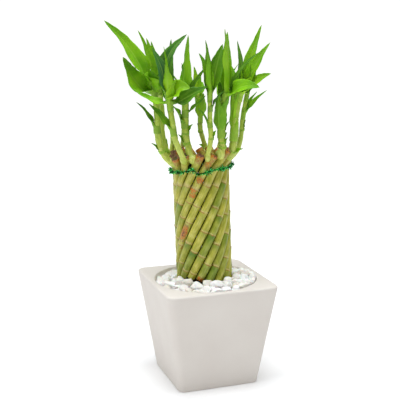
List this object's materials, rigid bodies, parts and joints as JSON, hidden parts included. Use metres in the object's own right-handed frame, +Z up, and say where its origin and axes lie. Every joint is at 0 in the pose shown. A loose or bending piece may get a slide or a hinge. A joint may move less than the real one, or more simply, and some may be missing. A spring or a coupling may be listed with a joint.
{
  "type": "potted lucky bamboo",
  "caption": "Lucky bamboo tower: twisted canes tied with green tinsel, a leafy shoot on each, in a square white ceramic pot topped with white pebbles.",
  "frame": {"origin": "middle of the pot's flat underside, on the surface it stands on", "axes": "+Z up, +X and +Y along the square pot's sides; the plant's own front faces between -Y and -X"},
  "size_m": [0.1728, 0.1442, 0.3898],
  "materials": {
    "pot": "satin",
    "soil": "matte",
    "pebbles": "matte",
    "cane": "satin",
    "leaf": "satin",
    "tie": "gloss"
  },
  "bodies": {
    "root": {"pot": "pot", "soil": "soil", "pebbles": "pebbles", "tie": "tie", "cane_01": "cane", "cane_02": "cane", "cane_03": "cane", "cane_04": "cane", "cane_05": "cane", "cane_06": "cane", "cane_07": "cane", "cane_08": "cane", "cane_09": "cane", "cane_10": "cane", "cane_11": "cane", "cane_12": "cane", "cane_13": "cane", "cane_14": "cane", "cane_15": "cane", "cane_16": "cane", "shoot_01": "leaf", "shoot_02": "leaf", "shoot_03": "leaf", "shoot_04": "leaf", "shoot_05": "leaf", "shoot_06": "leaf", "shoot_07": "leaf", "shoot_08": "leaf", "shoot_09": "leaf", "shoot_10": "leaf", "shoot_11": "leaf", "shoot_12": "leaf", "shoot_13": "leaf", "shoot_14": "leaf", "shoot_15": "leaf", "shoot_16": "leaf"}
  },
  "joints": []
}
